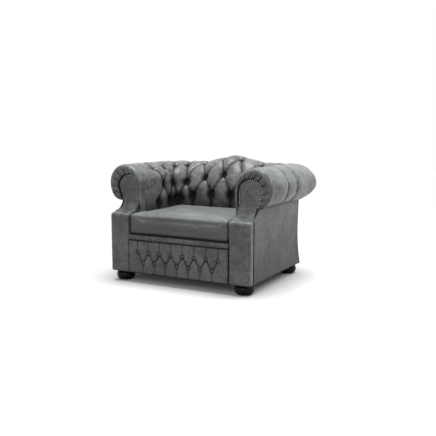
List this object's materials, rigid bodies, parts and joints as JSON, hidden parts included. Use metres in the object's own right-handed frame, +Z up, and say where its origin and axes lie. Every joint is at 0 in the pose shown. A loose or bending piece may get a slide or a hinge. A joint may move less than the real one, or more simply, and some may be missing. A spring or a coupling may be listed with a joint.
{
  "type": "chesterfield armchair",
  "caption": "Low chesterfield armchair with rolled arms, deep-buttoned inside arms and back, a loose seat cushion that lifts out, nailed scroll fronts, a buttoned front border and bun feet.",
  "frame": {"origin": "on the floor, under the middle of the chair's outer box", "axes": "+Z up, the chair faces -Y, and +X is to the right as seen from the front"},
  "size_m": [1.188, 0.93, 0.783],
  "materials": {
    "leather": "satin",
    "nail_metal": "satin",
    "plywood": "matte",
    "frame_wood": "matte",
    "steel": "satin",
    "felt": "matte",
    "black_cloth": "matte",
    "foam": "matte",
    "zip_tape": "matte",
    "foot_wood": "satin"
  },
  "bodies": {
    "chair_body": {"inside_arm_right": "leather", "inside_arm_left": "leather", "inside_back": "leather", "scroll_facing_right": "leather", "scroll_facing_left": "leather", "roll_front_right": "leather", "roll_front_left": "leather", "pillar_cover_right": "leather", "pillar_cover_left": "leather", "front_border": "leather", "rail_strip": "leather", "outside_arm_right": "leather", "outside_arm_left": "leather", "outside_back": "leather", "nail_row_right": "nail_metal", "nail_row_left": "nail_metal", "nail_arch_right": "nail_metal", "nail_arch_left": "nail_metal", "scroll_board_right": "plywood", "scroll_board_left": "plywood", "front_rail": "frame_wood", "back_rail": "frame_wood", "side_rail_right": "frame_wood", "side_rail_left": "frame_wood", "seat_front_rail": "frame_wood", "seat_rear_rail": "frame_wood", "seat_side_rail_right": "frame_wood", "seat_side_rail_left": "frame_wood", "front_post_right": "frame_wood", "front_post_left": "frame_wood", "rear_post_right": "frame_wood", "rear_post_left": "frame_wood", "ledge_block_right": "frame_wood", "ledge_block_left": "frame_wood", "front_block_right": "frame_wood", "front_block_left": "frame_wood", "rear_block_right": "frame_wood", "rear_block_left": "frame_wood", "arm_roll_rail_right": "frame_wood", "arm_roll_rail_left": "frame_wood", "back_roll_rail": "frame_wood", "spring_anchor_front": "steel", "spring_anchor_rear": "steel", "seat_spring_1": "steel", "seat_spring_2": "steel", "seat_spring_3": "steel", "seat_spring_4": "steel", "deck_pad": "felt", "dust_cover": "black_cloth", "foot_front_right": "foot_wood", "foot_front_left": "foot_wood", "foot_rear_right": "foot_wood", "foot_rear_left": "foot_wood", "foot_bolt_front_right": "steel", "foot_bolt_front_left": "steel", "foot_bolt_rear_right": "steel", "foot_bolt_rear_left": "steel"},
    "seat_cushion": {"cushion_cover": "leather", "cushion_core": "foam", "cushion_zip": "zip_tape"}
  },
  "joints": [
    {"name": "seat_cushion_lift", "type": "slide", "parent": "chair_body", "child": "seat_cushion", "axis": [0, 0, 1], "range_m": [0, 0.5]}
  ]
}
